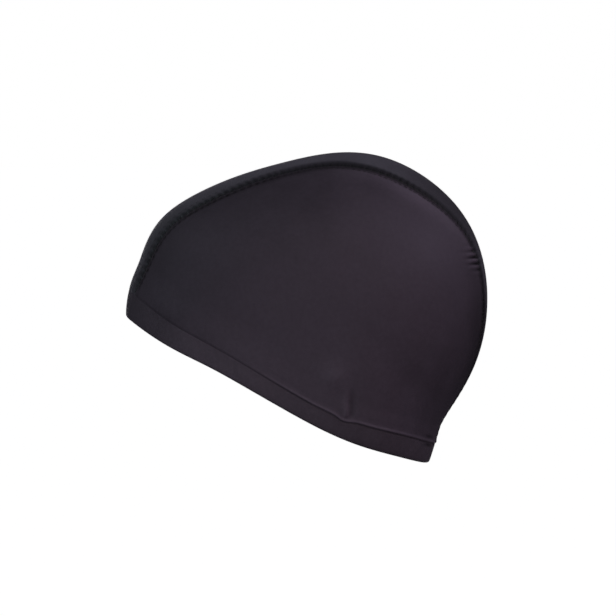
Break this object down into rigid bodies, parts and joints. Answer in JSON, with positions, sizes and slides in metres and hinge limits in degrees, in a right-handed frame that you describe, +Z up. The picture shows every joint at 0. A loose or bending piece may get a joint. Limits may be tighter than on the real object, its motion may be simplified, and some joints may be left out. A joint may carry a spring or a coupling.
{
  "type": "swim cap",
  "caption": "Stretch-fabric swim cap in its worn form: two side panels, a centre strip from forehead to nape and a turned, stitched hem.",
  "frame": {"origin": "middle of the opening, halfway between the rim at the forehead and the rim at the nape, where the head goes in", "axes": "+X to the back of the head, +Y to the wearer's right, +Z up as worn"},
  "size_m": [0.1934, 0.152, 0.1658],
  "materials": {
    "panel_fabric": "black two-way stretch polyester knit with a soft sheen",
    "strip_fabric": "black stretch knit, a little lighter and more matt than the side panels",
    "hem_fabric": "black stretch knit turned over and cover-stitched"
  },
  "bodies": {
    "root": {"left_panel": "panel_fabric", "right_panel": "panel_fabric", "crown_strip": "strip_fabric", "hem_band": "hem_fabric"}
  },
  "joints": []
}
